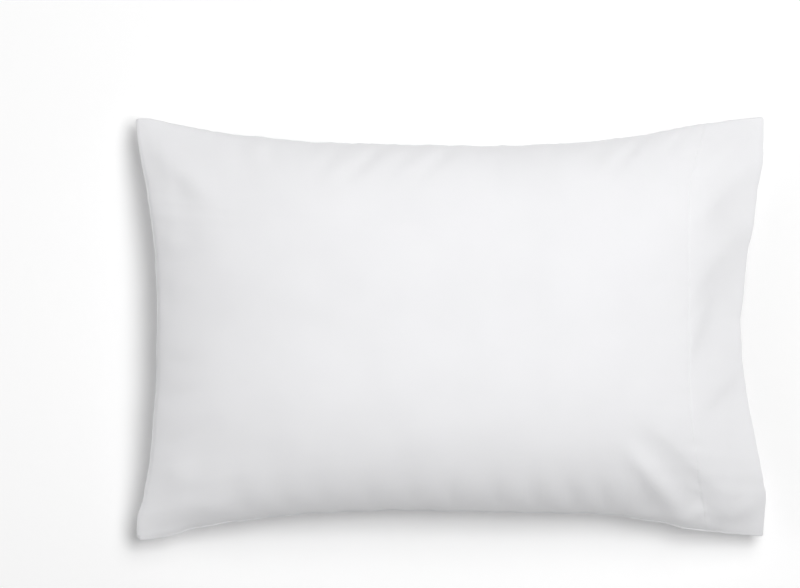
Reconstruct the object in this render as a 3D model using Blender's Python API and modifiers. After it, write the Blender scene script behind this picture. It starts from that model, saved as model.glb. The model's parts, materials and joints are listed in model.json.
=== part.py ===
# A standard pillowcase on its pillow, lying on its back. The closed end is at -X and the open end, with
# its deep hem, at +X. The origin is under the middle of the bounding box, on the surface it lies on.

import math

import bmesh
import bpy

MM = 0.001

# The flat, unrounded corners of the case as it lies, from above.
CORNERS = {
    "left_low": (-369.3 * MM, -249.2 * MM),
    "left_high": (-370.4 * MM, 249.2 * MM),
    "right_low": (368.6 * MM, -243.4 * MM),
    "right_high": (370.4 * MM, 248.6 * MM),
}
CORNER_RADIUS = 4.0 * MM

# How far each side draws in from the line between its corners.
# Columns: share of the way along the side, draw-in in mm.
LOW_SIDE = (
    (0.0, 0.0), (0.038, 3.0), (0.086, 13.9), (0.154, 21.9), (0.261, 30.0), (0.397, 33.9), (0.517, 32.1),
    (0.643, 29.6), (0.741, 27.8), (0.786, 23.8), (0.851, 16.4), (0.894, 11.5), (0.936, 6.4), (1.0, 0.0),
)
HIGH_SIDE = (
    (0.0, 0.0), (0.030, 1.6), (0.077, 10.3), (0.158, 20.2), (0.262, 28.2), (0.369, 31.5), (0.485, 32.6),
    (0.560, 33.8), (0.676, 30.4), (0.740, 27.0), (0.803, 20.6), (0.867, 12.5), (0.944, 3.2), (1.0, 0.0),
)
CLOSED_END = (
    (0.0, 0.0), (0.058, 1.4), (0.108, 9.0), (0.191, 16.6), (0.328, 23.2), (0.500, 26.7), (0.660, 24.6),
    (0.780, 18.1), (0.868, 10.7), (0.934, 4.1), (1.0, 0.0),
)
OPEN_END = (
    (0.0, 0.0), (0.098, -1.8), (0.170, 1.5), (0.239, 8.1), (0.326, 17.1), (0.417, 24.3), (0.508, 26.2),
    (0.599, 22.2), (0.710, 15.3), (0.837, 6.1), (0.938, 0.6), (1.0, 0.0),
)

# Heights in mm of the middle line, above and below the seams' level.
# Columns: share of the length from the closed end, front above the seams, back below them.
SECTIONS = (
    (0.00, 98.0, 72.0), (0.30, 103.0, 74.0), (0.52, 104.0, 75.0), (0.72, 102.0, 75.0), (0.82, 90.0, 74.0),
    (0.90, 69.0, 71.0), (0.95, 45.0, 67.0), (1.00, 16.0, 62.0),
)
SEAM_LEVEL = 68.0 * MM
CORNER_DROOP = 30.0 * MM
CORNER_REACH = 3.0
SIDE_ROUNDNESS = 2.9
SIDE_STEEPNESS = 0.56
END_REACH = 0.5
END_ROUNDNESS = 2.8
END_STEEPNESS = 0.7
EAR_FLATNESS = 0.4
EAR_THINNING = 0.5
BACK_LIP_SETBACK = 6.0 * MM
BACK_LIP_REACH = 8

# The cloth, and the hem that is turned back on itself.
CLOTH = 1.0 * MM
HEM_CLOTH = 1.8 * MM
HEM_START = 285.0 * MM
SEAM_ROLL = 2.6 * MM

# Soft folds in the front, from above, in mm. A positive height is a ridge and a negative one a trough.
# Columns: from X, from Y, to X, to Y, half width, height.
FOLDS = (
    (372.0, 222.0, 300.0, 140.0, 18.0, -11.0),
    (350.0, 232.0, 282.0, 176.0, 18.0, 6.0),
    (342.0, 112.0, 284.0, 30.0, 17.0, -9.0),
    (330.0, 138.0, 288.0, 84.0, 18.0, 4.0),
    (330.0, 28.0, 280.0, -50.0, 16.0, -8.0),
    (346.0, -64.0, 296.0, -100.0, 18.0, -4.0),
    (226.0, -108.0, 300.0, -176.0, 17.0, -8.0),
    (196.0, -124.0, 276.0, -206.0, 16.0, 6.0),
    (212.0, -158.0, 284.0, -236.0, 16.0, -9.0),
    (318.0, -196.0, 350.0, -226.0, 17.0, -5.0),
    (-372.0, 222.0, -316.0, 172.0, 17.0, -10.0),
    (-352.0, 232.0, -286.0, 150.0, 18.0, 6.0),
    (-346.0, -230.0, -296.0, -208.0, 17.0, -8.0),
    (-366.0, -214.0, -300.0, -176.0, 18.0, 5.0),
)
FOLD_FADE = 0.35
# The folds are full where the case is this deep from front to back, and less where it is thinner.
FOLD_DEPTH = 36.0 * MM

# The pillow inside, its clearance from the cloth and where its end stops in the mouth.
PILLOW_CLEARANCE = 1.3 * MM
PILLOW_SEAM_INSET = 0.007
PILLOW_END = 0.905
PILLOW_END_ROUNDING = 0.38
PILLOW_CORNER_ROUNDING = 0.11
PILLOW_SEAM_TIGHTNESS = 16

# Cells of each panel along and across. They are finer at the seams and along the hem.
CASE_CELLS = (42, 34)
PILLOW_CELLS = (32, 22)
# Columns: share of the cells, share of the length or width.
ALONG = ((0.0, 0.0), (0.03, 0.003), (0.08, 0.017), (0.2, 0.1), (0.48, 0.62), (0.62, 0.76), (1.0, 1.0))
ACROSS = ((0.0, 0.0), (0.03, 0.005), (0.1, 0.045), (0.5, 0.5), (0.9, 0.955), (0.97, 0.995), (1.0, 1.0))
PILLOW_GATHER = 0.9

CLOTH_COLOUR = (0.82, 0.82, 0.83, 1.0)
PILLOW_COLOUR = (0.76, 0.75, 0.72, 1.0)


def smooth_value(rows, share, column):
    """The smooth curve through one column of a table, whose first column is the share."""
    shares = [row[0] for row in rows]
    values = [row[column] for row in rows]
    last = len(rows) - 1
    index = min(max(sum(step <= share for step in shares) - 1, 0), last - 1)

    def slope(at):
        before, after = max(at - 1, 0), min(at + 1, last)
        return (values[after] - values[before]) / (shares[after] - shares[before])

    span = shares[index + 1] - shares[index]
    t = (share - shares[index]) / span
    return (
        (2 * t**3 - 3 * t**2 + 1) * values[index]
        + (t**3 - 2 * t**2 + t) * span * slope(index)
        + (3 * t**2 - 2 * t**3) * values[index + 1]
        + (t**3 - t**2) * span * slope(index + 1)
    )


def corner_shift(distance):
    """How far along and in a point moves, where the outline turns a rounded corner."""
    angle = math.radians(45) * max(1 - distance / CORNER_RADIUS, 0)
    along = CORNER_RADIUS * (1 - math.sin(angle)) - min(distance, CORNER_RADIUS)
    return along, CORNER_RADIUS * (1 - math.cos(angle))


def side_point(start, end, table, share, inward):
    """A point of one side of the outline. inward is +1 where the case lies left of the way it runs."""
    (x0, y0), (x1, y1) = CORNERS[start], CORNERS[end]
    length = math.hypot(x1 - x0, y1 - y0)
    way_x, way_y = (x1 - x0) / length, (y1 - y0) / length
    along = share * length
    from_start, in_start = corner_shift(along)
    from_end, in_end = corner_shift(length - along)
    along += from_start - from_end
    draw_in = inward * (smooth_value(table, share, 1) * MM + in_start + in_end)
    return x0 + way_x * along - way_y * draw_in, y0 + way_y * along + way_x * draw_in


def plan_point(u, v):
    """Where a point of the cloth lies, from above: u runs to the open end and v across."""
    low = side_point("left_low", "right_low", LOW_SIDE, u, 1)
    high = side_point("left_high", "right_high", HIGH_SIDE, u, -1)
    closed = side_point("left_low", "left_high", CLOSED_END, v, -1)
    mouth = side_point("right_low", "right_high", OPEN_END, v, 1)
    corners = [
        side_point("left_low", "right_low", LOW_SIDE, 0, 1),
        side_point("left_low", "right_low", LOW_SIDE, 1, 1),
        side_point("left_high", "right_high", HIGH_SIDE, 0, -1),
        side_point("left_high", "right_high", HIGH_SIDE, 1, -1),
    ]
    weights = ((1 - u) * (1 - v), u * (1 - v), (1 - u) * v, u * v)
    return tuple(
        (1 - v) * low[axis]
        + v * high[axis]
        + (1 - u) * closed[axis]
        + u * mouth[axis]
        - sum(weight * corner[axis] for weight, corner in zip(weights, corners))
        for axis in (0, 1)
    )


def fold_height(x, y):
    """The sum of the soft folds at a point of the front."""
    height = 0.0
    for row in FOLDS:
        x0, y0, x1, y1, half_width, fold = (value * MM for value in row)
        way_x, way_y = x1 - x0, y1 - y0
        length_squared = way_x**2 + way_y**2
        share = ((x - x0) * way_x + (y - y0) * way_y) / length_squared
        nearest = min(max(share, FOLD_FADE), 1 - FOLD_FADE)
        away = math.hypot(x - x0 - share * way_x, y - y0 - share * way_y) / half_width
        beyond = (share - nearest) / FOLD_FADE
        height += fold * math.exp(-(away**2) - beyond**2)
    return height


def seam_distance(u, v):
    """Roughly how far a point is from the nearest sewn edge."""
    length = CORNERS["right_low"][0] - CORNERS["left_low"][0]
    width = CORNERS["left_high"][1] - CORNERS["left_low"][1]
    return min(u * length, v * width, (1 - v) * width)


def fullness(u, v):
    """How much of the middle line's height the cloth has at a point, from 0 at a seam to 1."""
    ear = abs(2 * u - 1) ** CORNER_REACH * abs(2 * v - 1) ** CORNER_REACH
    from_end = (1 - (1 - min(u / END_REACH, 1)) ** END_ROUNDNESS) ** END_STEEPNESS
    from_sides = (1 - abs(2 * v - 1) ** SIDE_ROUNDNESS) ** SIDE_STEEPNESS
    return (from_end * from_sides) ** (1 + EAR_FLATNESS * ear) * (1 - EAR_THINNING * ear)


def case_point(u, v, face):
    """A point of the case's outer face: face is 1 for the front and -1 for the back."""
    x, y = plan_point(u, v)
    level = SEAM_LEVEL - CORNER_DROOP * abs(2 * u - 1) ** CORNER_REACH * abs(2 * v - 1) ** CORNER_REACH
    height = smooth_value(SECTIONS, u, 1 if face > 0 else 2) * MM * fullness(u, v)
    off_seam = 1 - min(seam_distance(u, v) / SEAM_ROLL, 1)
    roll = SEAM_ROLL * math.sqrt(1 - off_seam**2)
    if face > 0:
        depth = height + smooth_value(SECTIONS, u, 2) * MM * fullness(u, v)
        folds = fold_height(x, y) * (1 - off_seam) * min(depth / FOLD_DEPTH, 1)
        return x, y, level + height + roll + folds
    setback = BACK_LIP_SETBACK * u**BACK_LIP_REACH * math.sin(math.pi * v)
    return x - setback, y, max(level - height - roll, 0.0)


def pillow_point(p, q, face):
    """A point of the pillow, which lies within the case: p runs to the mouth and q across."""
    a, b = 2 * p - 1, 2 * q - 1
    round_a, round_b = 1 - PILLOW_CORNER_ROUNDING * b**4, 1 - PILLOW_CORNER_ROUNDING * a**4
    u = PILLOW_SEAM_INSET + (PILLOW_END - PILLOW_SEAM_INSET) * (1 + a * round_a) / 2
    v = PILLOW_SEAM_INSET + (1 - 2 * PILLOW_SEAM_INSET) * (1 + b * round_b) / 2
    x, y, front = case_point(u, v, 1)
    back = case_point(u, v, -1)[2]
    inset = CLOTH + PILLOW_CLEARANCE
    from_mouth = max((a - 1 + 2 * PILLOW_END_ROUNDING) / (2 * PILLOW_END_ROUNDING), 0)
    closing = math.sqrt(
        max(1 - abs(a) ** PILLOW_SEAM_TIGHTNESS, 0)
        * max(1 - abs(b) ** PILLOW_SEAM_TIGHTNESS, 0)
        * (1 - from_mouth**SIDE_ROUNDNESS)
    )
    middle = (front + back) / 2
    half = max((front - back) / 2 - inset, 0) * closing
    return x, y, middle + face * half


def case_stations(u, v):
    return smooth_value(ALONG, u, 1), smooth_value(ACROSS, v, 1)


def pillow_stations(p, q):
    return tuple(way - PILLOW_GATHER * math.sin(2 * math.pi * way) / (2 * math.pi) for way in (p, q))


def add_panel(body, cells, stations, point_at, face):
    """A flat grid, with each point moved to its place on one face."""
    grid = bmesh.ops.create_grid(body, x_segments=cells[0], y_segments=cells[1], size=0.5)
    for vertex in grid["verts"]:
        u, v = stations(vertex.co.x + 0.5, vertex.co.y + 0.5)
        vertex.co = point_at(u, v, face)
    if face < 0:
        faces = {item for vertex in grid["verts"] for item in vertex.link_faces}
        bmesh.ops.reverse_faces(body, faces=list(faces))


def make_object(name, cells, stations, point_at, material, collection):
    """Front and back grids, joined along the edges where their points meet."""
    body = bmesh.new()
    for face in (1, -1):
        add_panel(body, cells, stations, point_at, face)
    bmesh.ops.remove_doubles(body, verts=body.verts, dist=0.01 * MM)
    mesh = bpy.data.meshes.new(name)
    body.to_mesh(mesh)
    body.free()
    mesh.materials.append(material)
    mesh.shade_smooth()
    made = bpy.data.objects.new(name, mesh)
    collection.objects.link(made)
    return made


def make_material(name, colour, roughness):
    material = bpy.data.materials.new(name)
    material.use_nodes = True
    shader = material.node_tree.nodes["Principled BSDF"]
    shader.inputs["Base Color"].default_value = colour
    shader.inputs["Roughness"].default_value = roughness
    shader.inputs["Metallic"].default_value = 0.0
    return material


def make_case(collection):
    """The bag of cloth, thickened inwards and twice as thick where the hem is turned."""
    material = make_material("white_cloth", CLOTH_COLOUR, 0.85)
    case = make_object("pillowcase", CASE_CELLS, case_stations, case_point, material, collection)
    layers = case.vertex_groups.new(name="layers")
    for vertex in case.data.vertices:
        layers.add([vertex.index], 1.0 if vertex.co.x > HEM_START else CLOTH / HEM_CLOTH, "REPLACE")
    thickness = case.modifiers.new("cloth", "SOLIDIFY")
    thickness.thickness = HEM_CLOTH
    thickness.offset = -1
    thickness.vertex_group = layers.name
    return case


def make_pillow(collection):
    material = make_material("pillow_cover", PILLOW_COLOUR, 0.9)
    return make_object("pillow", PILLOW_CELLS, pillow_stations, pillow_point, material, collection)


def main():
    for item in list(bpy.data.objects):
        bpy.data.objects.remove(item)
    collection = bpy.data.collections.new("pillowcase_on_pillow")
    bpy.context.scene.collection.children.link(collection)
    make_case(collection)
    make_pillow(collection)


main()
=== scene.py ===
import json
import math

import bmesh
import bpy
import numpy as np
from mathutils import Matrix, Vector
from mathutils.bvhtree import BVHTree

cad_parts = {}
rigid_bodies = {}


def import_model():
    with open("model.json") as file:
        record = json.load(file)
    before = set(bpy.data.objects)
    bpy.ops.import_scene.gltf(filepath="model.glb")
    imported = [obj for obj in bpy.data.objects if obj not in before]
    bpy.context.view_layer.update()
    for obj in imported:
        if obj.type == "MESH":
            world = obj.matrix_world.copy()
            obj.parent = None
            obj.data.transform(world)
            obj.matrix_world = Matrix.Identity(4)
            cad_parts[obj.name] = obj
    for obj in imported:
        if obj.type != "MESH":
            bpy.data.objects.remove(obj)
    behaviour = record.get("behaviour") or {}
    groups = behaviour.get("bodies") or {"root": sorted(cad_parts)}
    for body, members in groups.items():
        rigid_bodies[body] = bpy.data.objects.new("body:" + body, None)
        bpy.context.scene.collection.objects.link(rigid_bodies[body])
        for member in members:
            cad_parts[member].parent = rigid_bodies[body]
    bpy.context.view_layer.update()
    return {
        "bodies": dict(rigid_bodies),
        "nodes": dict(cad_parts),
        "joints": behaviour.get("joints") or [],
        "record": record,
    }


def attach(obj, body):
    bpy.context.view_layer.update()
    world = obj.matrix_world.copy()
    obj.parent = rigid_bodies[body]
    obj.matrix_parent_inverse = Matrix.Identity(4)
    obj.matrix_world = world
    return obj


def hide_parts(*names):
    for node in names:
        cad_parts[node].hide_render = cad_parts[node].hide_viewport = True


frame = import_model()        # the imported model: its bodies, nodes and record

mm = 0.001
print("stage: frame loaded")


# Shader maths: one output of a node, on which +, - and * add Math nodes
class Wire:
    def __init__(self, finish, socket):
        self.finish = finish
        self.socket = socket

    def join(self, operation, first, second):
        return self.finish.add("ShaderNodeMath", {"operation": operation}, {0: first, 1: second})

    def __add__(self, other):
        return self.join("ADD", self, other)

    def __rsub__(self, other):
        return self.join("SUBTRACT", other, self)

    def __mul__(self, other):
        return self.join("MULTIPLY", self, other)

    __radd__ = __add__
    __rmul__ = __mul__

    def shape(self, operation):        # sine, absolute value and the like
        return self.finish.add("ShaderNodeMath", {"operation": operation}, {0: self})


class Finish:        # a material and the one method that adds a node to it
    def __init__(self, name, constants):
        self.material = bpy.data.materials.new(name)
        self.material.use_nodes = True
        self.nodes = self.material.node_tree.nodes
        self.shader = self.nodes["Principled BSDF"]
        for socketName, value in constants.items():
            self.shader.inputs[socketName].default_value = value

    def plug(self, socket, value):
        if isinstance(value, Wire):
            self.material.node_tree.links.new(value.socket, socket)
        else:
            socket.default_value = value

    def add(self, kind, settings, inputs, output=0):
        node = self.nodes.new(kind)
        for name, value in settings.items():
            setattr(node, name, value)
        for name, value in inputs.items():
            self.plug(node.inputs[name], value)
        return Wire(self, node.outputs[output])

    def noise(self, where, scale, detail=2.0):
        settings = {"noise_dimensions": "3D"}
        return self.add("ShaderNodeTexNoise", settings, {"Vector": where, "Scale": scale, "Detail": detail})

    # one range of values onto another, held at its ends
    def spread(self, value, low, high, newLow, newHigh):
        inputs = {"Value": value, 1: low, 2: high, 3: newLow, 4: newHigh}
        return self.add("ShaderNodeMapRange", {"clamp": True}, inputs)

    def blend(self, factor, first, second):        # between two colours
        return self.add("ShaderNodeMix", {"data_type": "RGBA"}, {0: factor, 6: first, 7: second}, 2)


# The case's form in mm: its outline from above and its heights, close to the solid's
caseForm = {
    "leftLow": (-370.6, -250.6),
    "leftHigh": (-372.2, 250.2),
    "rightLow": (371.2, -245.3),
    "rightHigh": (372.0, 252.2),
    "cornerRadius": {"leftLow": 9.0, "leftHigh": 5.0, "rightLow": 2.5, "rightHigh": 3.5},
    # share of the way along the side, draw-in
    "lowSide": (
        (0.0, 0.0), (0.038, 3.2), (0.086, 12.6), (0.154, 22.2), (0.261, 31.0), (0.397, 34.9), (0.517, 33.1),
        (0.643, 30.6), (0.741, 28.8), (0.786, 24.4), (0.851, 15.0), (0.894, 7.6), (0.936, 4.4), (1.0, 0.0),
    ),
    "highSide": (
        (0.0, 0.0), (0.030, 1.4), (0.077, 9.6), (0.158, 19.8), (0.262, 28.2), (0.369, 31.9), (0.485, 33.5),
        (0.560, 35.0), (0.676, 32.0), (0.740, 28.9), (0.803, 22.3), (0.867, 13.8), (0.944, 4.8), (1.0, 0.0),
    ),
    "closedEnd": (
        (0.0, 0.0), (0.058, 1.4), (0.108, 9.0), (0.191, 16.6), (0.328, 23.2), (0.500, 26.7), (0.660, 24.6),
        (0.780, 18.1), (0.868, 10.7), (0.934, 4.1), (1.0, 0.0),
    ),
    "openEnd": (
        (0.0, 0.0), (0.098, -0.3), (0.132, 4.4), (0.170, 8.2), (0.202, 10.2), (0.239, 13.1),
        (0.326, 19.9), (0.417, 25.8), (0.470, 25.4), (0.520, 23.4), (0.560, 22.2), (0.599, 20.3),
        (0.700, 11.4), (0.837, 4.5), (0.938, 1.6), (1.0, 0.0),
    ),
    # the low side's small step at the hem: share of the way, depth, reach before and after
    "nick": (0.931, 1.2, 0.024, 0.006),
    # share of the length, height of the middle above the seams in front, and below them behind
    "sections": (
        (0.00, 98.0, 72.0), (0.30, 103.0, 74.0), (0.52, 104.0, 75.0), (0.72, 102.0, 75.0),
        (0.82, 90.0, 74.0), (0.90, 69.0, 71.0), (0.95, 45.0, 67.0), (1.00, 16.0, 62.0),
    ),
    "planLength": 738.0,        # the sizes from above by which distances to the seams are taken
    "planWidth": 497.0,
    "seamLevel": 68.0,
    "cornerDroop": 30.0,
    "cornerReach": 3.0,
    "sideRoundness": 2.9,
    "sideSteepness": 0.56,
    "endReach": 0.5,
    "endRoundness": 2.8,
    "endSteepness": 0.7,
    "earFlatness": 0.4,
    "earThinning": 0.5,
    "backLipSetback": 6.0,
    "backLipReach": 8,
    "seamHalf": 0.9,        # half of the thickness of a pressed seam
    "seamWidth": 2.8,        # how far the low side's and the closed end's seam stands out
    "endSeamDroop": 1.1,        # how far the closed end's seam turns down
    "seamWave": 0.9,        # how far a seam rises and falls on its way
    "seamWaveSize": 22.0,        # along the seam
    "seamWaveReach": 9.0,        # away from the seam
    "seamWaveStarts": (0.0, 900.0, 2000.0),        # low side, closed end, high side: keeps them unlike
}

# How unevenly the outline runs: height and size of the waves
sideWaves = {
    "long": (0.45, 24.0),
    "short": (0.3, 9.0),
    "cornerFade": 40.0,
    "share": {"lowSide": 1.0, "highSide": 1.0, "closedEnd": 1.0, "openEnd": 0.5},
    "seed": {"lowSide": 65, "highSide": 66, "closedEnd": 67, "openEnd": 68},
}

# The case's cloth in mm: its cut size, its hem and the cells of its mesh
caseCloth = {
    "flatWidth": 1016.0,        # front and back in one, folded along the high side
    "flatLength": 851.0,        # with the turned hem
    "panelWidth": 508.0,
    "bodyLength": 673.0,
    "hemWidth": 89.0,
    "thickness": 0.35,
    "hemTurn": 0.6,        # radius of the folded edge
    "turnLength": 1.9,        # the cloth's way round it, and one of the steps that it takes
    "turnStep": 0.3,
    "weld": 0.002,        # points nearer than this are one
    # share across, X of the hem's stitching
    "hemLine": (
        (0.0, 304.0), (0.06, 298.0), (0.12, 292.0), (0.18, 287.3), (0.24, 282.6), (0.34, 278.4),
        (0.44, 277.2), (0.68, 276.8), (0.80, 277.8), (0.87, 281.0), (0.95, 293.5), (1.0, 301.0),
    ),
    # place, size of a cell there
    "bodyCells": (
        (0.0, 0.7), (4.5, 1.1), (26.0, 3.6), (120.0, 6.4), (230.0, 8.2), (500.0, 7.6), (610.0, 4.4),
        (662.0, 3.2), (670.0, 0.8), (673.0, 0.7),
    ),
    "hemCells": ((0.0, 0.7), (3.0, 0.9), (16.0, 4.0), (80.0, 4.4), (89.0, 2.2)),
    "acrossCells": (
        (0.0, 0.7), (4.5, 1.1), (26.0, 3.8), (110.0, 5.0), (254.0, 7.2), (398.0, 5.0), (482.0, 3.8),
        (503.5, 1.1), (508.0, 0.7),
    ),
}

# Soft folds in the front, from above. A positive height is a ridge, a negative one a trough.
# from X, from Y, to X, to Y, bow, half width at the start and the end, height, lean to one side
frontFolds = (
    (352.0, 236.0, 286.0, 178.0, 3.0, 9.0, 20.0, 2.5, 0.0),
    (213.0, -142.0, 278.0, -226.0, 0.0, 12.0, 14.0, 7.4, 0.0),
    (330.0, -196.0, 334.0, -216.0, 0.0, 8.0, 8.0, -1.2, 0.0),
    (308.0, -210.0, 362.0, -214.0, 0.0, 14.0, 18.0, 3.2, 0.0),
    (-404.0, -228.0, -262.0, -206.0, 0.0, 22.0, 18.0, 3.2, 0.0),
    (-400.0, -252.0, -236.0, -226.0, 0.0, 9.0, 9.0, -2.2, 0.0),
    (284.0, -214.0, 300.0, -219.0, 0.0, 8.0, 8.0, 2.4, 0.0),
    (-378.0, 238.0, -276.0, 154.0, 0.0, 14.0, 18.0, 4.6, 0.0),
    (-340.0, 218.0, -326.0, 92.0, 0.0, 14.0, 14.0, 2.1, 0.0),
    (298.0, -176.0, 388.0, -168.0, 0.0, 36.0, 38.0, 4.2, 0.0),
    (-344.0, -186.0, -190.0, -178.0, 0.0, 34.0, 34.0, 2.6, 0.0),
    (-366.0, -244.0, -352.0, -234.0, 0.0, 11.0, 11.0, 3.6, 0.0),
    (-360.0, -196.0, -300.0, -166.0, 4.0, 10.0, 16.0, 2.2, 0.0),
)
backFolds = (
    (366.0, 222.0, 286.0, 150.0, 6.0, 9.0, 20.0, -4.5, 0.3),
    (350.0, -222.0, 276.0, -148.0, -6.0, 9.0, 20.0, -4.5, 0.3),
    (-366.0, 222.0, -306.0, 160.0, -5.0, 8.0, 16.0, -4.0, 0.3),
    (-366.0, -222.0, -300.0, -164.0, 5.0, 8.0, 16.0, -4.0, 0.2),
)
foldFade = 0.3        # share of a fold over which it fades at each end
crestSharpness = 15

# Crests, past which the cloth turns down and slowly comes back.
# from X, from Y, to X, to Y, bow, drop, reach at the start and the end, share of the drop at the start
frontCrests = (
    (372.0, 206.0, 294.0, 128.0, -5.0, 7.6, 60.0, 34.0, 1.0),
    (362.0, 132.0, 280.0, 32.0, -7.0, 7.6, 52.0, 36.0, 0.7),
    (308.0, 46.0, 279.0, -30.0, -2.0, 4.0, 32.0, 20.0, 0.9),
    (346.0, -40.0, 296.0, -92.0, 0.0, 2.6, 22.0, 18.0, 1.0),
    (230.0, -111.0, 322.0, -196.0, 2.0, -7.0, 20.0, 34.0, 0.4),
    (-374.0, 234.0, -282.0, 158.0, 0.0, -2.6, 46.0, 46.0, 1.0),
)
backCrests = (
    (352.0, 130.0, 290.0, 40.0, 3.0, 3.4, 18.0, 16.0, 0.8),
    (350.0, -110.0, 292.0, -30.0, -3.0, -3.4, 18.0, 16.0, 0.8),
)

# Puckers that a seam gathers: place along the side, slant, length, half width, depth
frontLowPuckers = (
    (-288.0, -0.25, 40.0, 11.0, 1.6), (-236.0, -0.25, 44.0, 11.0, 3.0), (-188.0, -0.20, 44.0, 11.0, 3.6),
    (-146.0, -0.10, 38.0, 9.0, 3.6), (-97.0, 0.10, 40.0, 10.0, 4.6), (-44.0, 0.0, 42.0, 9.0, 4.8),
    (6.0, -0.10, 40.0, 10.0, 4.4), (58.0, -0.10, 42.0, 9.0, 5.4), (104.0, -0.15, 50.0, 10.0, 5.6),
    (148.0, -0.20, 52.0, 11.0, 6.4), (186.0, -0.25, 44.0, 9.0, 5.0), (228.0, 0.10, 28.0, 8.0, 3.0),
)
frontHighPuckers = (
    (-252.0, 0.20, 40.0, 10.0, 3.2), (-205.0, -0.25, 40.0, 9.0, 2.6), (-128.0, -0.50, 40.0, 9.0, 4.4),
    (-76.0, -0.85, 46.0, 9.0, 6.4), (-38.0, -0.70, 40.0, 8.0, 3.6), (6.0, -0.85, 40.0, 9.0, 6.0),
    (62.0, -0.20, 34.0, 9.0, 3.0), (118.0, -0.10, 36.0, 10.0, 3.4), (180.0, -0.25, 36.0, 12.0, 4.4),
    (228.0, -0.80, 42.0, 9.0, 5.0), (278.0, -0.70, 32.0, 10.0, 4.2),
)
frontEndPuckers = (
    (-186.0, 0.2, 40.0, 9.0, 2.0), (-140.0, 0.3, 44.0, 9.0, 2.4), (-84.0, 0.2, 46.0, 10.0, 2.2),
    (-30.0, -0.2, 40.0, 9.0, 1.8), (28.0, 0.1, 40.0, 9.0, 2.0), (76.0, 0.2, 44.0, 9.0, 1.6),
    (126.0, -0.3, 46.0, 9.0, 1.6),
)
backPuckers = (
    (-284.0, 0.2, 46.0, 9.0, 2.8), (-214.0, -0.3, 42.0, 8.0, 2.4), (-133.0, 0.1, 50.0, 10.0, 2.8),
    (-58.0, -0.2, 44.0, 8.0, 2.2), (16.0, 0.3, 48.0, 9.0, 2.8), (97.0, -0.1, 42.0, 8.0, 2.3),
    (170.0, 0.2, 50.0, 10.0, 3.0), (246.0, -0.2, 44.0, 9.0, 2.6),
)
puckerForm = {
    "narrow": 0.7,        # share of the half width at the seam, and how much it gains over the length
    "growth": 0.7,
    "seamReach": 11.0,        # distance from the seam over which a pucker deepens
    "seamPower": 1.5,
    "shoulder": 0.4,        # height and width of the swelling on both sides of a pucker
    "shoulderWidth": 2.2,
}

# What the cloth adds to the smooth form in mm: how far a thing stands out, its size, and how far it reaches
clothDetail = {
    "seed": {1: 10, -1: 20},
    "foldOffset": 7.0,        # distance from a seam over which folds and crests grow
    "crestOffset": 14.0,
    "fullDepth": 36.0,        # a case less deep than this has less detail
    "sway": (0.35, 90.0),
    "swayStart": 300.0,
    "bumps": (0.2, 34.0),
    "puckerStart": 2.0,
    "wrinkles": (0.35, 8.0, 22.0),
    "wrinkleStretch": 0.25,
    "hemStep": (0.2, 1.6),        # the doubled cloth stands out past the stitching
    "stitchGroove": (0.28, 1.8),
    "grooveShift": 0.3,
    "stitchGather": (0.3, 7.0, 12.0),
    "gatherSlant": 0.3,
    "rimWave": (0.5, 26.0, 20.0),
    "seamGroove": (0.5, 1.0),
    "seamGrooveShift": 0.4,
    "stepFade": 2.0,
    "floorFade": 10.0,        # height over which the back's detail fades towards the floor
}


def smoothColumn(rows, share, column=1):        # a smooth curve through one column of a table
    table = np.array(rows)
    steps, values = table[:, 0], table[:, column]
    last = len(steps) - 1
    order = np.arange(last + 1)
    before, after = np.maximum(order - 1, 0), np.minimum(order + 1, last)
    slopes = (values[after] - values[before]) / (steps[after] - steps[before])
    at = np.clip(np.searchsorted(steps, share, side="right") - 1, 0, last - 1)
    span = steps[at + 1] - steps[at]
    t = (share - steps[at]) / span
    ends = (2 * t**3 - 3 * t**2 + 1) * values[at] + (3 * t**2 - 2 * t**3) * values[at + 1]
    return ends + ((t**3 - 2 * t**2 + t) * slopes[at] + (t**3 - t**2) * slopes[at + 1]) * span


def ripple(x, y, size, seed):        # smooth bumps of about one size in every direction, most within -1 to 1
    source = np.random.default_rng(seed)
    total = np.zeros(np.broadcast(x, y).shape)
    waveCount = 14
    for turn, stretch, shift in source.uniform(0, 1, (waveCount, 3)):
        pull = 2 * math.pi / (size * 2) * (0.65 + 0.8 * stretch)
        angle = math.pi * turn
        total = total + np.cos(pull * (math.cos(angle) * x + math.sin(angle) * y) + 2 * math.pi * shift)
    return total / math.sqrt(waveCount)


def cornerShift(distance, radius):        # how far along and in the outline moves as it turns a corner
    angle = np.radians(45) * np.maximum(1 - distance / radius, 0)
    along = radius * (1 - np.sin(angle)) - np.minimum(distance, radius)
    return along, radius * (1 - np.cos(angle))


def sidePoint(start, end, side, share, inward):
    first, last = np.array(caseForm[start]), np.array(caseForm[end])
    length = np.linalg.norm(last - first)
    wayX, wayY = (last - first) / length
    along = share * length
    fromStart, inStart = cornerShift(along, caseForm["cornerRadius"][start])
    fromEnd, inEnd = cornerShift(length - along, caseForm["cornerRadius"][end])
    drawIn = smoothColumn(caseForm[side], share) + inStart + inEnd
    if side == "lowSide":
        place, depth, before, after = caseForm["nick"]
        drawIn = drawIn + depth * np.exp(-(((share - place) / np.where(share < place, before, after)) ** 2))
    fade = np.minimum(np.minimum(share, 1 - share) * length / sideWaves["cornerFade"], 1)
    fade = fade * sideWaves["share"][side]
    seed = sideWaves["seed"][side]
    height, size = sideWaves["long"]
    waves = height * ripple(along, 0, size, seed)
    height, size = sideWaves["short"]
    waves = waves + height * ripple(along, 0, size, seed + 9)
    drawIn = inward * (drawIn + fade * waves)
    along = along + fromStart - fromEnd
    return np.array([first[0] + wayX * along - wayY * drawIn, first[1] + wayY * along + wayX * drawIn])


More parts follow.
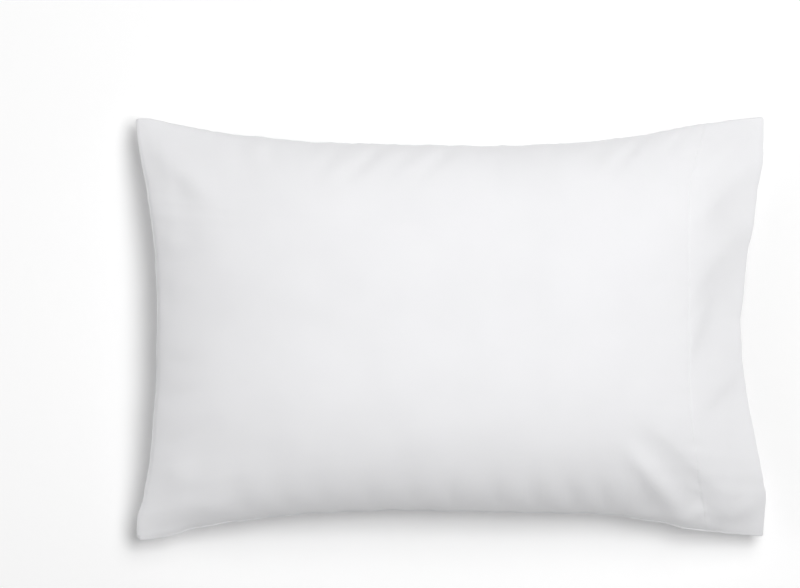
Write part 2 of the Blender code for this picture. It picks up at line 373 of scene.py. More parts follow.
def planPoint(u, v):        # where the cloth lies from above: u runs to the open end, v across
    low = sidePoint("leftLow", "rightLow", "lowSide", u, 1)
    high = sidePoint("leftHigh", "rightHigh", "highSide", u, -1)
    closed = sidePoint("leftLow", "leftHigh", "closedEnd", v, -1)
    mouth = sidePoint("rightLow", "rightHigh", "openEnd", v, 1)
    none, whole = np.zeros_like(u), np.ones_like(u)
    corners = (
        (1 - u) * (1 - v) * sidePoint("leftLow", "rightLow", "lowSide", none, 1)
        + u * (1 - v) * sidePoint("leftLow", "rightLow", "lowSide", whole, 1)
        + (1 - u) * v * sidePoint("leftHigh", "rightHigh", "highSide", none, -1)
        + u * v * sidePoint("leftHigh", "rightHigh", "highSide", whole, -1)
    )
    return (1 - v) * low + v * high + (1 - u) * closed + u * mouth - corners


def earShare(u, v):
    return np.abs(2 * u - 1) ** caseForm["cornerReach"] * np.abs(2 * v - 1) ** caseForm["cornerReach"]


def fullness(u, v):        # how much of the middle's height the cloth has, from 0 at a seam to 1
    ear = earShare(u, v)
    fromEnd = 1 - (1 - np.minimum(u / caseForm["endReach"], 1)) ** caseForm["endRoundness"]
    fromSides = 1 - np.abs(2 * v - 1) ** caseForm["sideRoundness"]
    full = fromEnd ** caseForm["endSteepness"] * fromSides ** caseForm["sideSteepness"]
    return full ** (1 + caseForm["earFlatness"] * ear) * (1 - caseForm["earThinning"] * ear)


def seamDistances(u, v):        # to the low side, the high side and the closed end
    length, width = caseForm["planLength"], caseForm["planWidth"]
    return v * width, (1 - v) * width, u * length


def casePoint(u, v, face):        # the smooth face, before its folds, and how deep the case is there
    x, y = planPoint(u, v)
    toLow, toHigh, toEnd = seamDistances(u, v)
    seam = caseForm["seamWidth"]
    filledU = np.maximum(toEnd - seam, 0) / (caseForm["planLength"] - seam)
    filledV = np.maximum(toLow - seam, 0) / (caseForm["planWidth"] - seam)
    full = fullness(filledU, filledV)
    near = np.minimum(np.minimum(toLow, toHigh), toEnd)
    lowStart, endStart, highStart = caseForm["seamWaveStarts"]
    besideSides = np.where(toLow < toHigh, lowStart + x, highStart + x)
    along = np.where(toEnd < np.minimum(toLow, toHigh), endStart + y, besideSides)
    level = caseForm["seamLevel"] - caseForm["cornerDroop"] * earShare(u, v)
    wave = caseForm["seamWave"] * ripple(along, 0, caseForm["seamWaveSize"], 40)
    level = level + wave * np.exp(-((near / caseForm["seamWaveReach"]) ** 2))
    level = level - caseForm["endSeamDroop"] * np.exp(-((toEnd / seam) ** 2))
    front = smoothColumn(caseForm["sections"], u, 1) * full
    back = smoothColumn(caseForm["sections"], u, 2) * full
    half = caseForm["seamHalf"]
    roll = half * np.sqrt(1 - (1 - np.minimum(near / half, 1)) ** 2)
    if face > 0:
        return np.stack([x, y, level + front + roll], axis=-1), front + back
    setback = caseForm["backLipSetback"] * u ** caseForm["backLipReach"] * np.sin(np.pi * v)
    return np.stack([x - setback, y, np.maximum(level - back - roll, 0)], axis=-1), front + back


def cellSteps(rows):        # places along a line, from a table of cell sizes
    samples = 4001
    places = np.linspace(rows[0][0], rows[-1][0], samples)
    sizes = np.interp(places, [row[0] for row in rows], [row[1] for row in rows])
    count = np.concatenate([[0], np.cumsum((1 / sizes)[1:] * np.diff(places))])
    cells = round(count[-1])
    return np.interp(np.linspace(0, count[-1], cells + 1), count, places)


def lineShares(x, y, x0, y0, x1, y1, bow):        # share of the way along a fold, and how far to its left
    length = math.hypot(x1 - x0, y1 - y0)
    wayX, wayY = (x1 - x0) / length, (y1 - y0) / length
    share = ((x - x0) * wayX + (y - y0) * wayY) / length
    held = np.clip(share, 0, 1)
    aside = (y - y0) * wayX - (x - x0) * wayY - bow * 4 * held * (1 - held)
    beyond = (share - np.clip(share, foldFade, 1 - foldFade)) / foldFade
    return held, aside, beyond


def foldHeights(x, y, rows):
    total = np.zeros_like(x)
    for x0, y0, x1, y1, bow, startWidth, endWidth, height, lean in rows:
        held, aside, beyond = lineShares(x, y, x0, y0, x1, y1, bow)
        aside = aside / (startWidth + (endWidth - startWidth) * held)
        total += height * np.exp(-(aside**2) - beyond**2) * (1 + lean * aside)
    return total


def crestHeights(x, y, rows):
    total = np.zeros_like(x)
    for x0, y0, x1, y1, bow, drop, startReach, endReach, growth in rows:
        held, aside, beyond = lineShares(x, y, x0, y0, x1, y1, bow)
        aside = math.copysign(1, drop) * aside / (startReach + (endReach - startReach) * held)
        past = np.logaddexp(0, aside * crestSharpness) / crestSharpness
        strength = abs(drop) * (growth + (1 - growth) * held) * np.exp(-(beyond**2))
        total -= strength * math.e * past * np.exp(-past)
    return total


def puckerDepths(place, inward, rows):        # place runs along the seam, inward away from it
    form = puckerForm
    total = np.zeros_like(place)
    start = 1 - np.exp(-((inward / form["seamReach"]) ** form["seamPower"]))
    for middle, slant, length, halfWidth, depth in rows:
        widened = halfWidth * (form["narrow"] + form["growth"] * inward / length)
        aside = (place - middle - slant * inward) / widened
        reach = np.exp(-((inward / length) ** 2)) * start
        shoulders = form["shoulder"] * np.exp(-((aside / form["shoulderWidth"]) ** 2))
        total -= depth * reach * (np.exp(-(aside**2)) - shoulders)
    return total


def faceNormals(points):
    along = np.gradient(points, axis=0)
    across = np.gradient(points, axis=1)
    normals = np.cross(along, across)
    return normals / np.maximum(np.linalg.norm(normals, axis=-1, keepdims=True), 1e-9)


def clothFace(face, bodySteps, hemSteps, acrossSteps):
    bodyShare = bodySteps / caseCloth["bodyLength"]
    hemShare = hemSteps[1:] / caseCloth["hemWidth"]
    v = acrossSteps / caseCloth["panelWidth"]
    closedX = planPoint(np.zeros_like(v), v)[0]
    openX = planPoint(np.ones_like(v), v)[0]
    uHem = (smoothColumn(caseCloth["hemLine"], v) - closedX) / (openX - closedX)
    u = np.concatenate([bodyShare[:, None] * uHem, uHem + hemShare[:, None] * (1 - uHem)])
    v = np.broadcast_to(v, u.shape)
    points, depth = casePoint(u, v, face)
    rowSteps = np.concatenate([bodySteps, caseCloth["bodyLength"] + hemSteps[1:]])
    along = np.broadcast_to(rowSteps[:, None], u.shape)
    across = np.broadcast_to(acrossSteps, u.shape)
    return points, depth, along, across, seamDistances(u, v)


# the step, the stitched groove, its gathers and the waving rim
def hemDetail(along, across, near, seed):
    toStitch = along - caseCloth["bodyLength"]
    toRim = along - caseCloth["bodyLength"] - caseCloth["hemWidth"]
    height, width = clothDetail["hemStep"]
    step = height * (1 + np.tanh(toStitch / width)) * np.minimum(near / clothDetail["stepFade"], 1)
    depth, half = clothDetail["stitchGroove"]
    groove = -depth * np.exp(-(((toStitch + clothDetail["grooveShift"]) / half) ** 2))
    height, size, reach = clothDetail["stitchGather"]
    slanted = along * clothDetail["gatherSlant"] + across * clothDetail["gatherSlant"]
    gather = height * ripple(slanted, across, size, seed + 2) * np.exp(-((toStitch / reach) ** 2))
    height, size, reach = clothDetail["rimWave"]
    gather += height * ripple(across, 0, size, seed + 5) * np.exp(-((toRim / reach) ** 2))
    return step, groove, gather


def seamWrinkles(x, y, distances, seed):        # short wrinkles that run away from the seams
    toLow, toHigh, toEnd = distances
    height, size, reach = clothDetail["wrinkles"]
    stretch = clothDetail["wrinkleStretch"]
    wrinkles = ripple(x, y * stretch, size, seed + 3) * np.exp(-((np.minimum(toLow, toHigh) / reach) ** 2))
    wrinkles += ripple(x * stretch, y, size, seed + 4) * np.exp(-((toEnd / reach) ** 2))
    return height * wrinkles


def faceDetail(points, depth, along, across, distances, face):        # folds, puckers, hem and unevenness
    x, y = points[..., 0], points[..., 1]
    toLow, toHigh, toEnd = distances
    seed = clothDetail["seed"][face]
    near = np.minimum(np.minimum(toLow, toHigh), toEnd)
    pastSeam = np.maximum(near - caseForm["seamWidth"], 0)
    foldGrowth = 1 - np.exp(-((pastSeam / clothDetail["foldOffset"]) ** 2))
    crestGrowth = 1 - np.exp(-((pastSeam / clothDetail["crestOffset"]) ** 2))
    room = np.minimum(depth / clothDetail["fullDepth"], 1)
    front = face > 0
    detail = foldHeights(x, y, frontFolds if front else backFolds)
    detail += crestHeights(x, y, frontCrests if front else backCrests) * crestGrowth
    swayHeight, swaySize = clothDetail["sway"]
    bumpHeight, bumpSize = clothDetail["bumps"]
    sway = swayHeight * ripple(along + clothDetail["swayStart"], across, swaySize, seed)
    detail += sway + bumpHeight * ripple(along, across, bumpSize, seed + 1)
    detail = detail * foldGrowth
    fromLow = np.maximum(toLow - clothDetail["puckerStart"], 0)
    fromEnd = np.maximum(toEnd - clothDetail["puckerStart"], 0)
    detail += puckerDepths(x, fromLow, frontLowPuckers if front else backPuckers)
    detail += puckerDepths(x, toHigh, frontHighPuckers if front else backPuckers[::-1])
    detail += puckerDepths(y, fromEnd, frontEndPuckers)
    detail += seamWrinkles(x, y, distances, seed) * foldGrowth
    step, groove, gather = hemDetail(along, across, near, seed)
    grooveDepth, grooveHalf = clothDetail["seamGroove"]
    pastGroove = np.minimum(toLow, toEnd) - caseForm["seamWidth"] - clothDetail["seamGrooveShift"]
    seamGroove = -grooveDepth * np.exp(-((pastGroove / grooveHalf) ** 2))
    detail = (detail + groove + gather * foldGrowth) * room + step + seamGroove * room
    return detail if front else detail * np.clip(points[..., 2] / clothDetail["floorFade"], 0, 1)


def turnHem(outer, normals):        # the cloth goes round the folded edge and back inside to the stitching
    radius = caseCloth["hemTurn"]
    lip, lipNormal = outer[-1], normals[-1]
    outward = outer[-1] - outer[-2]
    outward = outward / np.linalg.norm(outward, axis=-1, keepdims=True)
    turn = []
    for angle in np.radians((30, 60, 90, 120, 150)):
        around = math.cos(angle) * lipNormal + math.sin(angle) * outward
        turn.append(lip - radius * lipNormal + radius * around)
    return np.concatenate([outer, np.array(turn)])


# every second row, from the folded edge back to just past the stitching
def innerRows(rowCount, hemRows):
    return np.concatenate([[rowCount - 1], np.arange(rowCount - 2, rowCount - hemRows - 4, -2)])


def shapeFaces():
    steps = [cellSteps(caseCloth[name]) for name in ("bodyCells", "hemCells", "acrossCells")]
    faces = {}
    for face in (1, -1):
        points, depth, along, across, distances = clothFace(face, *steps)
        detail = faceDetail(points, depth, along, across, distances, face)
        detail[0, :] = 0
        detail[:, 0] = 0
        detail[:, -1] = 0
        points = points + faceNormals(points) * face * detail[..., None]
        normals = faceNormals(points) * face
        faces[face] = {"points": points, "normals": normals, "along": along, "across": across}
    # the edges that both faces share have one normal
    for seam in ((0, slice(None)), (slice(None), 0), (slice(None), -1)):
        shared = faces[1]["normals"][seam] + faces[-1]["normals"][seam]
        shared = shared / np.maximum(np.linalg.norm(shared, axis=-1, keepdims=True), 1e-9)
        faces[1]["normals"][seam] = shared
        faces[-1]["normals"][seam] = shared
    return faces, len(steps[0]) - 1, len(steps[1]) - 1


# one grid, with each point moved to its place, and its pattern where it has one
def layCloth(mesh, sheet, flip, uvLayer=None, uv=None):
    rowCount, columnCount = sheet.shape[:2]
    made = bmesh.ops.create_grid(mesh, x_segments=rowCount - 1, y_segments=columnCount - 1, size=0.5)
    places = {}
    for vertex in made["verts"]:
        place = (round((vertex.co.x + 0.5) * (rowCount - 1)), round((vertex.co.y + 0.5) * (columnCount - 1)))
        places[vertex] = place
        vertex.co = sheet[place]
    cells = {cell for vertex in places for cell in vertex.link_faces}
    if uv is not None:
        for cell in cells:
            for loop in cell.loops:
                loop[uvLayer].uv = uv[places[loop.vert]]
    if flip:
        bmesh.ops.reverse_faces(mesh, faces=list(cells))


def addObject(name, mesh):
    data = bpy.data.meshes.new(name)
    mesh.to_mesh(data)
    mesh.free()
    data.shade_smooth()
    made = bpy.data.objects.new(name, data)
    bpy.context.scene.collection.objects.link(made)
    return made


def buildCase(faces, hemRows):
    mesh = bmesh.new()
    uvLayer = mesh.loops.layers.uv.verify()
    beyond = caseCloth["bodyLength"] + caseCloth["hemWidth"]
    for face in (1, -1):
        points, normals = faces[face]["points"], faces[face]["normals"]
        along, across = faces[face]["along"], faces[face]["across"]
        rows = innerRows(len(points), hemRows)
        inner = points[rows] - 2 * caseCloth["hemTurn"] * normals[rows]
        sheet = np.concatenate([turnHem(points, normals), inner]) * mm
        turnAlong = beyond + caseCloth["turnStep"] * np.arange(1, 6)[:, None] + 0 * across[:1]
        innerAlong = 2 * beyond + caseCloth["turnLength"] - along[rows]
        uvAlong = np.concatenate([along, turnAlong, innerAlong])
        uvAcross = np.broadcast_to(across[0] * face, uvAlong.shape)
        layCloth(mesh, sheet, face < 0, uvLayer, np.stack([uvAlong, uvAcross], axis=-1) * mm)
    bmesh.ops.remove_doubles(mesh, verts=mesh.verts, dist=caseCloth["weld"] * mm)
    case = addObject("caseCloth", mesh)
    wall = case.modifiers.new("wall", "SOLIDIFY")
    wall.thickness = caseCloth["thickness"] * mm
    wall.offset = -1
    return case


# What both woven cloths share
wovenLook = {
    "constants": {"Sheen Weight": 0.22, "Sheen Roughness": 0.5, "IOR": 1.46, "Specular IOR Level": 0.35},
    "mottleScale": 13.0,
    "warpSlubs": (180.0, 2300.0),        # noise along and across the thicker threads, in waves a metre
    "weftSlubs": (2300.0, 160.0),
    # the weave's share darkens the colour where its threads dip: painted shade in the weave's hollows
    "toneAndWeaveShadeShares": (0.55, 0.3, 0.15),        # of the mottling, the slubs and the weave
    "toneRange": (0.3, 0.62),
    "slubRoughness": 0.1,
    "heightShares": (0.7, 0.9),        # of the weave and the slubs
    "bumpStrength": 0.6,
    "crossing": 0.25,        # how gently one thread passes over the other
    "threadRound": 0.4,        # share of a thread's height that falls off towards its crossings
}
caseLook = {
    "name": "whiteCotton",
    "colour": (0.835, 0.835, 0.85, 1.0),
    # the darker colour: taken by the cloth's darker mottling and slubs, and by the painted shade in the
    # weave's hollows
    "shade": (0.805, 0.805, 0.82, 1.0),
    "roughness": 0.84,
    "threadPitch": 0.4,        # mm between two threads
    "weaveDepth": 0.05,
}


def weaveHeight(finish, place, pitch):        # plain weave: warp and weft pass over each other in turn
    split = finish.add("ShaderNodeSeparateXYZ", {}, {"Vector": place})
    along = split * (math.pi / (pitch * mm))
    across = Wire(finish, split.socket.node.outputs[1]) * (math.pi / (pitch * mm))
    weftWave, warpWave = along.shape("SINE"), across.shape("SINE")
    crossing, fall = wovenLook["crossing"], wovenLook["threadRound"]
    warpOver = finish.spread(weftWave * warpWave, -crossing, crossing, 0.0, 1.0)
    weft, warp = weftWave.shape("ABSOLUTE"), warpWave.shape("ABSOLUTE")
    warpHeight = warpOver * warp * (1 - fall + fall * weft)
    return warpHeight + (1 - warpOver) * weft * (1 - fall + fall * warp)


def stretchedNoise(finish, place, stretch):        # noise that is drawn out along one thread
    inputs = {0: place, 1: (*stretch, 1.0)}
    return finish.noise(finish.add("ShaderNodeVectorMath", {"operation": "MULTIPLY"}, inputs), 1.0)


def cottonFinish(look):
    finish = Finish(look["name"], wovenLook["constants"])
    place = finish.add("ShaderNodeTexCoord", {}, {}, 3)
    surface = finish.add("ShaderNodeTexCoord", {}, {}, 2)
    mottle = finish.noise(place, wovenLook["mottleScale"])
    warpSlubs = stretchedNoise(finish, surface, wovenLook["warpSlubs"])
    weftSlubs = stretchedNoise(finish, surface, wovenLook["weftSlubs"])
    slubs = warpSlubs * 0.5 + weftSlubs * 0.5
    weave = weaveHeight(finish, surface, look["threadPitch"])
    mottleShare, slubShare, weaveShare = wovenLook["toneAndWeaveShadeShares"]
    # the mottling and slubs are the cloth's own uneven tone; the weave's share is painted shade, darker
    # where the threads dip
    toneAndWeaveShade = mottle * mottleShare + slubs * slubShare + weave * weaveShare
    tone = finish.spread(toneAndWeaveShade, *wovenLook["toneRange"], 0.0, 1.0)
    finish.plug(finish.shader.inputs["Base Color"], finish.blend(tone, look["shade"], look["colour"]))
    finish.plug(finish.shader.inputs["Roughness"], look["roughness"] + slubs * wovenLook["slubRoughness"])
    weaveShare, slubShare = wovenLook["heightShares"]
    height = weave * weaveShare + slubs * slubShare
    inputs = {"Strength": wovenLook["bumpStrength"], "Distance": look["weaveDepth"] * mm, "Height": height}
    finish.plug(finish.shader.inputs["Normal"], finish.add("ShaderNodeBump", {}, inputs))
    return finish.material


faces, stitchRow, hemRows = shapeFaces()
case = buildCase(faces, hemRows)
case.data.materials.append(cottonFinish(caseLook))
print("stage: case", len(case.data.polygons), "faces")


# The hem's stitches in mm
stitchForm = {
    "length": 2.5,
    "thickness": 0.42,
    "spacing": 3.1,
    "proud": 0.02,        # how far it stands out of the cloth
    "jitter": 0.12,        # how uneven its ends are along the line
    "wander": 0.12,        # and its place across the line
    "endGap": 4.0,
}
threadLook = {
    "colour": (0.86, 0.86, 0.86, 1.0),
    "shade": (0.74, 0.74, 0.75, 1.0),
    "constants": {"Roughness": 0.6, "Sheen Weight": 0.15, "IOR": 1.46},
    "fibreScale": 2600.0,
    "fibreDetail": 3.0,
    "toneRange": (0.35, 0.65),
    "bumpStrength": 0.5,
    "fibreDepth": 0.04,
}


def onLine(line, run, place):        # a line's value at a distance along it
    return np.array([np.interp(place, run, line[:, axis]) for axis in range(3)])


def buildStitches(faces, row):
    form = stitchForm
    mesh = bmesh.new()
    source = np.random.default_rng(31)
    for face in (1, -1):
        line, normals = faces[face]["points"][row], faces[face]["normals"][row]
        run = np.concatenate([[0], np.cumsum(np.linalg.norm(np.diff(line, axis=0), axis=1))])
        for start in np.arange(form["endGap"], run[-1] - form["endGap"], form["spacing"]):
            shifts = [source.uniform(-form["jitter"], form["jitter"]) for _ in range(2)]
            first, last = [
                onLine(line, run, start + shift + side * form["length"] / 2)
                for shift, side in zip(shifts, (-1, 1))
            ]
            middle = (first + last) / 2 + onLine(normals, run, start) * form["proud"]
            middle[0] += source.uniform(-1, 1) * form["wander"]
            turn = Vector(last - first).to_track_quat("Z", "Y").to_matrix().to_4x4()
            thick = form["thickness"] * mm
            size = Matrix.Diagonal((thick, thick, form["length"] * mm, 1.0))
            spot = Matrix.Translation(Vector(middle * mm)) @ turn @ size
            bmesh.ops.create_uvsphere(mesh, u_segments=6, v_segments=4, radius=0.5, matrix=spot)
    return addObject("hemStitches", mesh)


def threadFinish():
    look = threadLook
    finish = Finish("whiteThread", look["constants"])
    place = finish.add("ShaderNodeTexCoord", {}, {}, 3)
    fibres = finish.noise(place, look["fibreScale"], look["fibreDetail"])
    tone = finish.spread(fibres, *look["toneRange"], 0.0, 1.0)
    finish.plug(finish.shader.inputs["Base Color"], finish.blend(tone, look["shade"], look["colour"]))
    inputs = {"Strength": look["bumpStrength"], "Distance": look["fibreDepth"] * mm, "Height": fibres}
    finish.plug(finish.shader.inputs["Normal"], finish.add("ShaderNodeBump", {}, inputs))
    return finish.material


hemStitches = buildStitches(faces, stitchRow)
hemStitches.data.materials.append(threadFinish())
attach(hemStitches, "root")
print("stage: stitches", len(hemStitches.data.polygons), "faces")


# The pillow in mm, which fills the case and shows in its mouth
pillowForm = {
    "clearance": 6.5,        # from the outside of the case's cloth before it swells
    "swell": 4.4,        # the furthest that a point may move
    "cell": 6.5,
    "weld": 0.01,        # points nearer than this are one
    "coverSteps": 6,
    "coverMass": 0.15,
    "coverStiffness": 12,
    "coverBending": 0.2,
    "pressure": 4.0,
    "slack": 0.035,        # how much larger the cover is cut than the form
    "frames": 20,
    "seamInset": 0.012,        # share of the case's length and width
    "end": 0.9,
    "endRounding": 0.38,
    "endPower": 2.9,
    "cornerRounding": 0.11,
    "cornerPower": 4,
    "seamTightness": 14,
    "crowding": 0.9,        # how much closer the cells lie at the seam
    "cells": (110, 84),
    "seamCell": 2.4,
    "seamWidth": 3.0,
    "seatReach": 25.0,        # how far outside the seam's line the cover is looked for
    # height, size and seed of the waves in the seam's level and in its width
    "seamWaves": ((0.7, 11.0, 71), (0.8, 27.0, 72)),
    "widthWave": (0.3, 16.0, 73),
    "gatherWave": (8.0, 74),        # size and seed
    "grooveDepth": 1.7,        # how far the stitching pulls the cover in
    "grooveHalf": 4.0,
    "gatherDepth": 1.6,
    "gatherHalf": 9.0,
    # share of the seam's width, height: once round its section
    "seamOutline": (
        (-0.6, 0.9), (0.3, 0.75), (0.85, 0.6), (1.0, 0.0), (0.85, -0.6), (0.3, -0.75), (-0.6, -0.9),
    ),
}
coverLook = {
    "name": "offWhiteCover",
    "colour": (0.80, 0.79, 0.765, 1.0),
    # the darker colour: taken by the cover's darker mottling and slubs, and by the painted shade in the
    # weave's hollows
    "shade": (0.74, 0.73, 0.70, 1.0),
    "roughness": 0.88,
    "threadPitch": 0.55,
    "weaveDepth": 0.07,
}


def gridValue(grid, rows, columns):        # between the points of a face's grid
    row = np.clip(np.floor(rows).astype(int), 0, grid.shape[0] - 2)
    column = np.clip(np.floor(columns).astype(int), 0, grid.shape[1] - 2)
    a, b = (rows - row)[..., None], (columns - column)[..., None]
    low = grid[row, column] * (1 - a) + grid[row + 1, column] * a
    high = grid[row, column + 1] * (1 - a) + grid[row + 1, column + 1] * a
    return low * (1 - b) + high * b


def pillowFaces(faces):
    form = pillowForm
    p, q = np.meshgrid(*[np.linspace(0, 1, cells + 1) for cells in form["cells"]], indexing="ij")
    p, q = [way - form["crowding"] * np.sin(2 * np.pi * way) / (2 * np.pi) for way in (p, q)]
    a, b = 2 * p - 1, 2 * q - 1
    inset = form["seamInset"]
    rounding, power = form["cornerRounding"], form["cornerPower"]
    u = inset + (form["end"] - inset) * (1 + a * (1 - rounding * b**power)) / 2
    v = inset + (1 - 2 * inset) * (1 + b * (1 - rounding * a**power)) / 2
    closedX = planPoint(np.zeros_like(v), v)[0]
    openX = planPoint(np.ones_like(v), v)[0]
    uHem = (smoothColumn(caseCloth["hemLine"], v) - closedX) / (openX - closedX)
    past = np.maximum(u - uHem, 0) / (1 - uHem) * caseCloth["hemWidth"]
    along = np.minimum(u / uHem, 1) * caseCloth["bodyLength"] + past
    rowPlaces, columnPlaces = faces[1]["along"][:, 0], faces[1]["across"][0]
    rows = np.interp(along, rowPlaces, np.arange(len(rowPlaces)))
    columns = np.interp(v * caseCloth["panelWidth"], columnPlaces, np.arange(len(columnPlaces)))
    front, back = [
        gridValue(faces[face]["points"] - form["clearance"] * faces[face]["normals"], rows, columns)
        for face in (1, -1)
    ]
    fromMouth = np.maximum((a - 1 + 2 * form["endRounding"]) / (2 * form["endRounding"]), 0)
    tight = form["seamTightness"]
    closing = (1 - np.abs(a) ** tight) * (1 - np.abs(b) ** tight) * (1 - fromMouth ** form["endPower"])
    closing = np.sqrt(closing)
    middle, half = (front + back) / 2, np.maximum((front - back)[..., 2], 0) / 2
    made = {}
    for face in (1, -1):
        points = middle.copy()
        points[..., 2] += face * half * closing
        made[face] = points
    return made


def keepModified(piece, modifier):        # the modifier's result becomes the piece's mesh
    modified = bpy.data.meshes.new_from_object(piece.evaluated_get(bpy.context.evaluated_depsgraph_get()))
    piece.modifiers.remove(modifier)
    piece.data = modified


def evenMesh(piece, size):        # the same form in cells of one size
    remesh = piece.modifiers.new("even", "REMESH")
    remesh.mode = "VOXEL"
    remesh.voxel_size = size * mm
    keepModified(piece, remesh)


def refineMesh(piece):        # cells of half the size
    finer = piece.modifiers.new("finer", "SUBSURF")
    finer.levels = 1
    finer.render_levels = 1
    keepModified(piece, finer)


def readPlaces(data):
    places = np.empty(len(data.vertices) * 3)
    data.vertices.foreach_get("co", places)
    return places.reshape(-1, 3)


def swellCover(piece):        # pressure fills the slack cover, which wrinkles, and no point moves too far
    form = pillowForm
    start = readPlaces(piece.data)
    cover = piece.modifiers.new("cover", "CLOTH")
    cover.settings.quality = form["coverSteps"]
    cover.settings.mass = form["coverMass"]
    cover.settings.tension_stiffness = form["coverStiffness"]
    cover.settings.compression_stiffness = form["coverStiffness"]
    cover.settings.bending_stiffness = form["coverBending"]
    cover.settings.use_pressure = True
    cover.settings.uniform_pressure_force = form["pressure"]
    cover.settings.shrink_min = -form["slack"]
    cover.settings.effector_weights.gravity = 0
    cover.collision_settings.use_collision = False
    cover.point_cache.frame_end = form["frames"]
    for frame in range(1, form["frames"] + 1):
        bpy.context.scene.frame_set(frame)
    swelled = piece.evaluated_get(bpy.context.evaluated_depsgraph_get()).to_mesh()
    shift = readPlaces(swelled) - start
    piece.modifiers.remove(cover)
    bpy.context.scene.frame_set(1)
    far = np.linalg.norm(shift, axis=1, keepdims=True)
    reach = form["swell"] * mm
    shift = shift / np.maximum(far, 1e-9) * reach * np.tanh(far / reach)
    piece.data.vertices.foreach_set("co", (start + shift).ravel())
    print("stage: cover swelled by", round(float(far.mean() / mm), 2), "mm")


def coverPattern(piece, middle):        # lays the weave over the faces and down to the seam
    layer = piece.data.uv_layers.new(name="weave")
    places = readPlaces(piece.data)
    corners = np.empty(len(piece.data.loops), dtype=int)
    piece.data.loops.foreach_get("vertex_index", corners)
    x, y, z = places[corners].T
    layer.uv.foreach_set("vector", np.stack([x - np.abs(z - middle), y], axis=-1).ravel())


def seamLoop(made):        # the pillow's seam, once round
    front = made[1]
    sides = (front[:-1, 0], front[-1, :-1], front[:0:-1, -1], front[0, :0:-1])
    loop = np.concatenate(sides)
    step = np.linalg.norm(np.diff(loop, axis=0, append=loop[:1]), axis=1)
    run = np.concatenate([[0], np.cumsum(step)])
    count = round(run[-1] / pillowForm["seamCell"])
    at = np.linspace(0, run[-1], count + 1)[:-1]
    closed = np.concatenate([loop, loop[:1]])
    loop = np.stack([np.interp(at, run, closed[:, axis]) for axis in range(3)], axis=-1)
    ahead = np.roll(loop, -2, axis=0) - np.roll(loop, 2, axis=0)
    outward = np.stack([ahead[:, 1], -ahead[:, 0], 0 * at], axis=-1)
    return loop, outward / np.linalg.norm(outward, axis=1, keepdims=True), at


def seatSeam(piece, loop, outward):        # moves the seam's line out to the swelled cover
    cells = [cell.vertices[:] for cell in piece.data.polygons]
    cover = BVHTree.FromPolygons(readPlaces(piece.data).tolist(), cells)
    seated = loop.copy()
    for place, way in zip(seated, outward):
        hit = cover.ray_cast(Vector((place + pillowForm["seatReach"] * way) * mm), Vector(-way))[0]
        if hit:
            place[:] = np.array(hit) / mm
    return (np.roll(seated, 1, axis=0) + seated + np.roll(seated, -1, axis=0)) / 3


def gatherCover(piece, loop, outward, at):        # the stitching pulls the cover in and gathers it
    form = pillowForm
    places = readPlaces(piece.data) / mm
    size, seed = form["gatherWave"]
    wave = 0.5 + 0.5 * np.clip(ripple(at, 0, size, seed), -1, 1)
    batch = 4000        # points at a time, which keeps the distances' table small
    for start in range(0, len(places), batch):
        part = places[start : start + batch]
        nearest = np.linalg.norm(part[:, None, :2] - loop[None, :, :2], axis=2).argmin(axis=1)
        away = np.linalg.norm(part - loop[nearest], axis=1)
        groove = form["grooveDepth"] * np.exp(-((away / form["grooveHalf"]) ** 2))
        gathers = form["gatherDepth"] * wave[nearest] * np.exp(-((away / form["gatherHalf"]) ** 2))
        part -= outward[nearest] * (groove + gathers)[:, None]
    piece.data.vertices.foreach_set("co", (places * mm).ravel())
    return loop - outward * (form["grooveDepth"] + form["gatherDepth"] * wave)[:, None]


# the seam's narrow folded edge, wavy where the cover is gathered
def buildPillowSeam(loop, outward, at):
    form = pillowForm
    lift = sum(height * ripple(at, 0, size, seed) for height, size, seed in form["seamWaves"])
    height, size, seed = form["widthWave"]
    width = form["seamWidth"] + height * ripple(at, 0, size, seed)
    rows = []
    for share, rise in form["seamOutline"]:
        row = loop + outward * (share * width)[:, None]
        row[:, 2] += rise + lift * max(share, 0)
        rows.append(row)
    rows.append(rows[0])
    sheet = np.stack(rows, axis=1)
    sheet = np.concatenate([sheet, sheet[:1]])
    runs = np.concatenate([at, [at[-1] + form["seamCell"]]])[:, None] + 0 * sheet[..., 0]
    across = 0 * runs + np.linspace(0, 2 * form["seamWidth"], sheet.shape[1])
    mesh = bmesh.new()
    uvLayer = mesh.loops.layers.uv.verify()
    layCloth(mesh, sheet * mm, False, uvLayer, np.stack([runs, across], axis=-1) * mm)
    bmesh.ops.remove_doubles(mesh, verts=mesh.verts, dist=pillowForm["weld"] * mm)
    bmesh.ops.recalc_face_normals(mesh, faces=mesh.faces)
    return addObject("pillowSeam", mesh)


def buildPillow(faces):
    made = pillowFaces(faces)
    mesh = bmesh.new()
    for face in (1, -1):
        layCloth(mesh, made[face] * mm, face < 0)
    bmesh.ops.remove_doubles(mesh, verts=mesh.verts, dist=pillowForm["weld"] * mm)
    pillow = addObject("filledPillow", mesh)
    evenMesh(pillow, pillowForm["cell"])
    swellCover(pillow)
    refineMesh(pillow)
    loop, outward, at = seamLoop(made)
    loop = seatSeam(pillow, loop, outward)
    loop = gatherCover(pillow, loop, outward, at)
    coverPattern(pillow, made[1][0, 0, 2] * mm)
    pillow.data.shade_smooth()
    return pillow, buildPillowSeam(loop, outward, at)


filledPillow, pillowSeam = buildPillow(faces)
for piece in (filledPillow, pillowSeam):
    piece.data.materials.append(cottonFinish(coverLook))
    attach(piece, "root")
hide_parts("pillow")
print("stage: pillow", len(filledPillow.data.polygons), "faces")


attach(case, "root")
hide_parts("pillowcase")


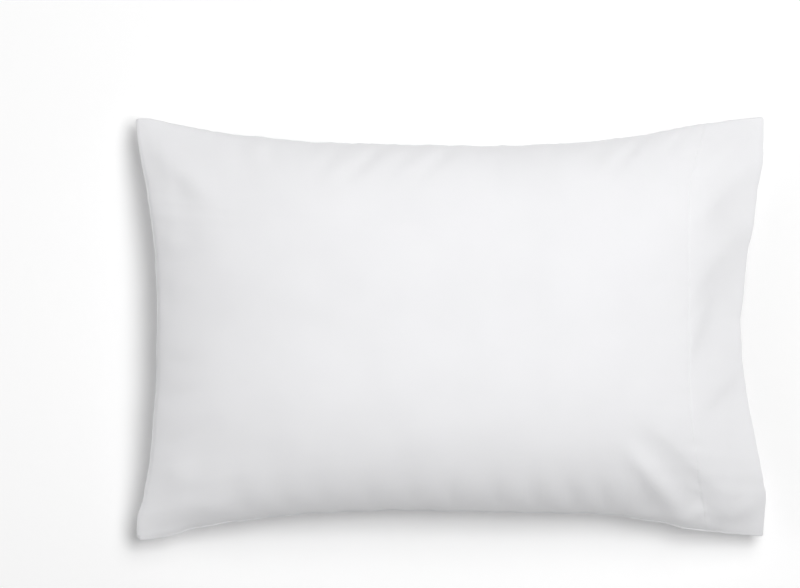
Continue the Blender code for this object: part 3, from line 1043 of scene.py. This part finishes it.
# Floor, light and camera
studio = {
    "floorColour": (0.95, 0.95, 0.95, 1.0),
    "floorRoughness": 0.9,
    "floorGlow": 0.04,
    "floorHalf": 6.0,        # half of its width and how far it lies below the case, in metres
    "floorDrop": 0.0003,
    "skyStrength": 0.272,
    "lampSize": 1.6,
    "lampDistance": 3.2,
    # way round from +X, height in degrees, power
    "lamps": {
        "keyLamp": (30.0, 75.0, 54.5),
        "topLamp": (60.0, 60.0, 23.7),
        "leftLamp": (180.0, 30.0, 13.0),
    },
}
photo = {
    "width": 800,
    "height": 588,
    "mmPerPixel": 1.18,
    "caseMiddle": (449.5, 329.5),
    "lens": 200.0,        # in mm, as are the next two
    "sensor": 36.0,
    "level": 60.0,        # height at which the scale holds
}


def makeFloor():
    mesh = bmesh.new()
    bmesh.ops.create_grid(mesh, x_segments=1, y_segments=1, size=studio["floorHalf"])
    bmesh.ops.translate(mesh, verts=mesh.verts, vec=(0.0, 0.0, -studio["floorDrop"]))
    data = bpy.data.meshes.new("floor")
    mesh.to_mesh(data)
    mesh.free()
    floor = bpy.data.objects.new("floor", data)
    bpy.context.scene.collection.objects.link(floor)
    constants = {
        "Base Color": studio["floorColour"],
        "Roughness": studio["floorRoughness"],
        "Specular IOR Level": 0.0,
        "Emission Color": (1.0, 1.0, 1.0, 1.0),
        "Emission Strength": studio["floorGlow"],
    }
    data.materials.append(Finish("palePaper", constants).material)


def makeSky():
    world = bpy.data.worlds.new("studio")
    world.use_nodes = True
    background = world.node_tree.nodes["Background"]
    background.inputs["Color"].default_value = (1.0, 1.0, 1.0, 1.0)
    background.inputs["Strength"].default_value = studio["skyStrength"]
    bpy.context.scene.world = world


def makeLamps():
    for name, (turn, height, power) in studio["lamps"].items():
        light = bpy.data.lights.new(name, "AREA")
        light.shape = "DISK"
        light.size = studio["lampSize"]
        light.energy = power
        lamp = bpy.data.objects.new(name, light)
        turn, height = math.radians(turn), math.radians(height)
        distance = studio["lampDistance"]
        reach = distance * math.cos(height)
        lamp.location = (reach * math.cos(turn), reach * math.sin(turn), distance * math.sin(height))
        lamp.rotation_euler = (-lamp.location).to_track_quat("-Z", "Y").to_euler()
        bpy.context.scene.collection.objects.link(lamp)


def makeCamera():
    camera = bpy.data.cameras.new("camera")
    camera.lens = photo["lens"]
    camera.sensor_width = photo["sensor"]
    scale = photo["mmPerPixel"] * mm
    middleX = (photo["width"] / 2 - photo["caseMiddle"][0]) * scale
    middleY = (photo["caseMiddle"][1] - photo["height"] / 2) * scale
    away = photo["width"] * scale * photo["lens"] / photo["sensor"]
    photoCamera = bpy.data.objects.new("camera", camera)
    photoCamera.location = (middleX, middleY, away + photo["level"] * mm)
    bpy.context.scene.collection.objects.link(photoCamera)
    bpy.context.scene.camera = photoCamera


makeFloor()
makeSky()
makeLamps()
makeCamera()
bpy.context.scene.view_settings.view_transform = "Standard"
print("stage: studio")
